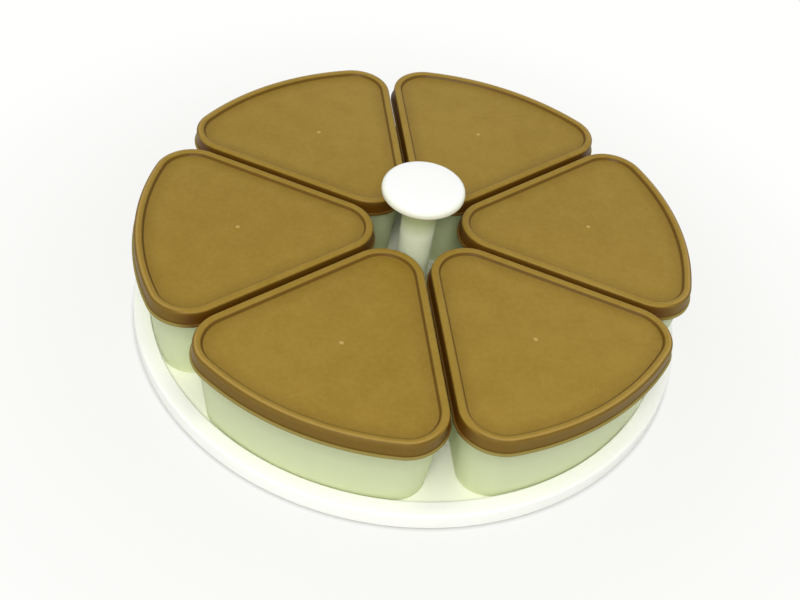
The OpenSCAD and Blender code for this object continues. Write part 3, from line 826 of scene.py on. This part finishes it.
# Past 0.34 m from the axis the floor is plain white; close to it, it keeps the object's shadow
around = add(floor_tree, "ShaderNodeTexCoord").outputs["Object"]
away = add(floor_tree, "ShaderNodeVectorMath", {0: around}, operation="LENGTH")
whiter = add(floor_tree, "ShaderNodeMapRange", {"Value": away.outputs["Value"], "From Min": 0.16,
                                                "From Max": 0.34, "To Min": 0.78, "To Max": 1.0},
             interpolation_type="SMOOTHSTEP")
# The slit under the tray's skirt stays dark
open_floor = add(floor_tree, "ShaderNodeMapRange", {"Value": away.outputs["Value"], "From Min": 0.1592,
                                                    "From Max": 0.1612, "To Min": 0.1})
whiter = add(floor_tree, "ShaderNodeMath", {0: whiter.outputs["Result"], 1: open_floor.outputs["Result"]},
             operation="MULTIPLY")
share = add(floor_tree, "ShaderNodeMath", {0: seen.outputs["Value"], 1: whiter.outputs["Value"]},
            operation="MULTIPLY")
matt = add(floor_tree, "ShaderNodeBsdfDiffuse", {"Color": linear("#DADAD6")})
glow = add(floor_tree, "ShaderNodeEmission", {"Color": linear("#FFFFFD"), "Strength": 1.0})
both = add(floor_tree, "ShaderNodeMixShader", {0: share.outputs["Value"], 1: matt.outputs["BSDF"],
                                               2: glow.outputs["Emission"]})
floor_tree.links.new(both.outputs["Shader"], floor_surface)
floor_mesh = bpy.data.meshes.new("floor")
floor_half = 6.0
floor_mesh.from_pydata([(-floor_half, -floor_half, 0), (floor_half, -floor_half, 0),
                        (floor_half, floor_half, 0), (-floor_half, floor_half, 0)], [], [(0, 1, 2, 3)])
floor_mesh.materials.append(floor_material)
floor = bpy.data.objects.new("floor", floor_mesh)
scene.collection.objects.link(floor)

world = bpy.data.worlds.new("studio")
world.use_nodes = True
scene.world = world
room = world.node_tree
room.nodes.clear()
path = add(room, "ShaderNodeLightPath").outputs
straight = add(room, "ShaderNodeMath", {0: path["Is Camera Ray"], 1: path["Is Glossy Ray"]},
               operation="MAXIMUM")
straight = add(room, "ShaderNodeMath", {0: straight.outputs["Value"], 1: path["Is Transmission Ray"]},
               operation="MAXIMUM")
# White walls light the room up to about 35 degrees above the floor; the ceiling over them is dimmer
toward = add(room, "ShaderNodeTexCoord").outputs["Generated"]
rise = add(room, "ShaderNodeSeparateXYZ", {"Vector": toward}).outputs["Z"]
level = add(room, "ShaderNodeMapRange", {"Value": rise, "From Min": 0.4, "From Max": 0.7,
                                         "To Min": 0.5, "To Max": 0.45})
level = add(room, "ShaderNodeMath", {0: level.outputs["Result"], 1: straight.outputs["Value"]},
            operation="MAXIMUM")
sky = add(room, "ShaderNodeBackground", {"Color": linear("#FEFFFC"), "Strength": level.outputs["Value"]})
add(room, "ShaderNodeOutputWorld", {"Surface": sky.outputs["Background"]})


def softbox(name, place, target, width, depth, watts):
    """A rectangular area lamp that faces a point."""
    lamp = bpy.data.lights.new(name, "AREA")
    lamp.shape = "RECTANGLE"
    lamp.size = width
    lamp.size_y = depth
    lamp.energy = watts
    box = bpy.data.objects.new(name, lamp)
    box.location = place
    box.rotation_euler = (Vector(target) - Vector(place)).to_track_quat("-Z", "Y").to_euler()
    scene.collection.objects.link(box)
    return box


softbox("overhead_softbox", (-0.15, -0.45, 1.42), (0, 0, 0), 1.5, 0.7, 5.2)
softbox("front_softbox", (-0.4, -1.43, 1.5), (0, 0, 0), 0.9, 0.6, 21)

camera_data = bpy.data.cameras.new("camera")
camera_data.lens = 47.32
camera_data.sensor_width = 36
camera = bpy.data.objects.new("camera", camera_data)
right = Vector((0.98727, -0.11883, 0.10569))
up = Vector((0.01126, 0.71517, 0.69886))
looking = Matrix((right, up, right.cross(up))).transposed().to_4x4()
camera.matrix_world = Matrix.Translation((-0.1041, -0.4355, 0.4473)) @ looking
scene.collection.objects.link(camera)
scene.camera = camera
scene.view_settings.view_transform = "Standard"
